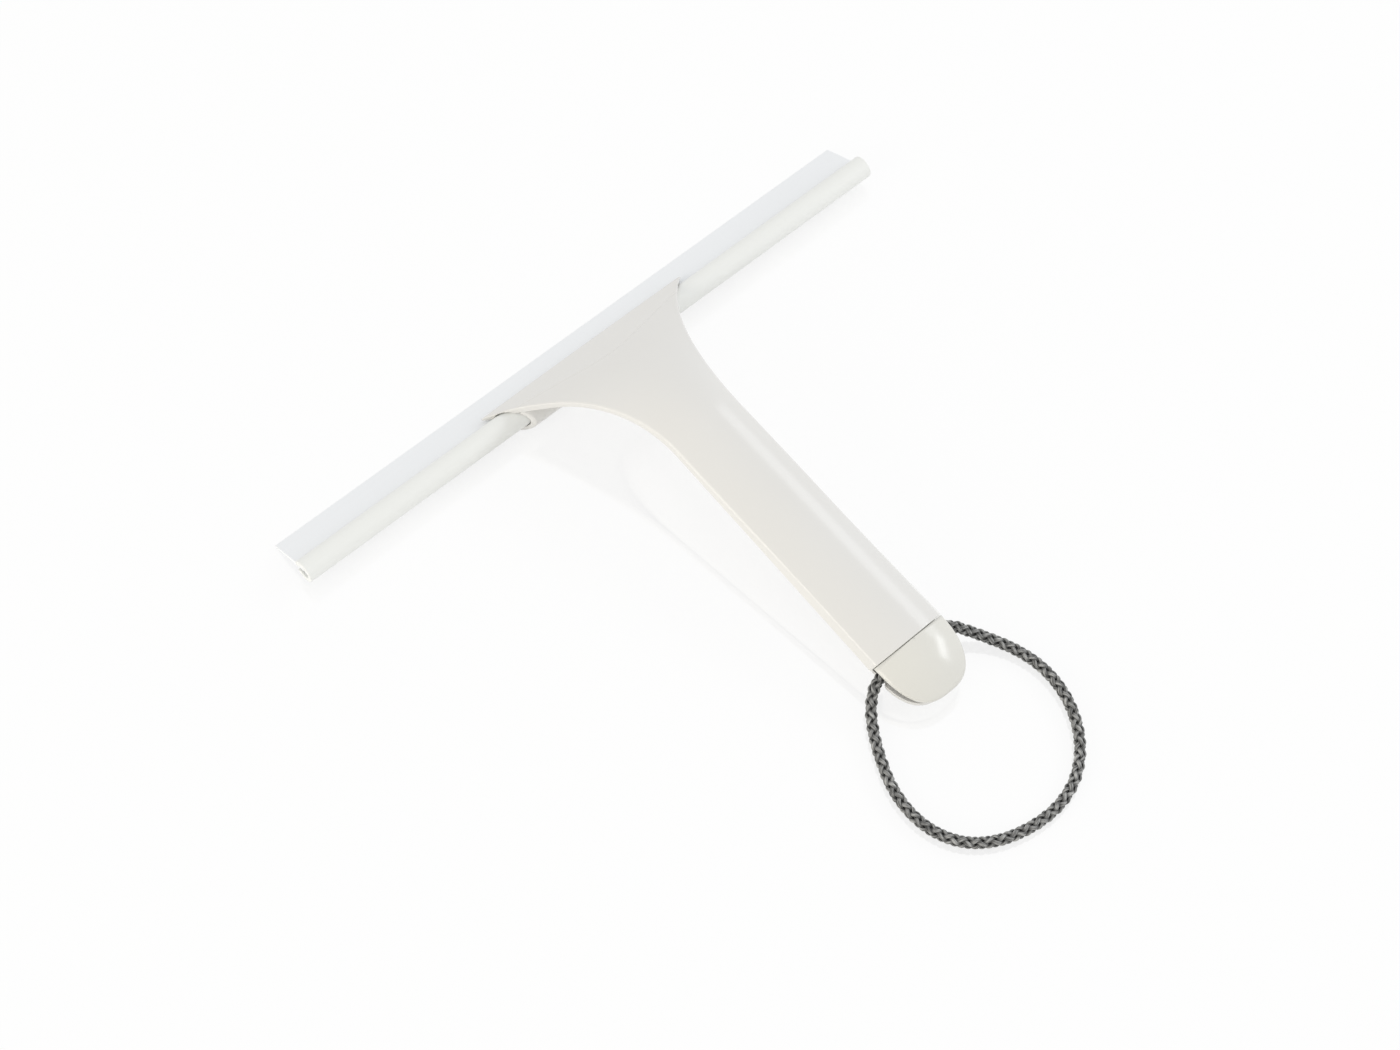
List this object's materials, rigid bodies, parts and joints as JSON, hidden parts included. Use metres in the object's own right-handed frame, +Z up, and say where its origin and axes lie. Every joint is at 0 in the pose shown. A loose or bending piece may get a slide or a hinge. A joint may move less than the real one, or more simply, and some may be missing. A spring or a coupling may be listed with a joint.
{
  "type": "window squeegee",
  "caption": "Hand squeegee: a rubber lip in a round slotted blade channel, held by a flared hood with a crowned grip, an end cap and a cord loop to hang it by.",
  "frame": {"origin": "on the table, under the middle of the squeegee without its cord", "axes": "+X along the blade, +Y from the end cap to the wiping edge, +Z up from the table"},
  "size_m": [0.24, 0.2297, 0.0342],
  "materials": {
    "handle_plastic": "satin moulded plastic, warm white",
    "channel_plastic": "extruded plastic, white",
    "lip_rubber": "smooth, cool white",
    "cord_braid": "braided, grey"
  },
  "bodies": {
    "handle": {"handle_shell": "handle_plastic", "underside_shell": "handle_plastic", "hanging_cord": "cord_braid", "cord_knot": "cord_braid"},
    "cap": {"end_cap": "handle_plastic"},
    "blade": {"blade_channel": "channel_plastic"},
    "lip": {"wiper_lip": "lip_rubber"}
  },
  "joints": [
    {"name": "blade_slide", "type": "slide", "parent": "handle", "child": "blade", "axis": [1, 0, 0], "range_m": [-0.163, 0.163]},
    {"name": "lip_slide", "type": "slide", "parent": "blade", "child": "lip", "axis": [1, 0, 0], "range_m": [0, 0.2403]},
    {"name": "cap_slide", "type": "slide", "parent": "handle", "child": "cap", "axis": [0, -0.9869, -0.1616], "range_m": [0, 0.012]}
  ]
}
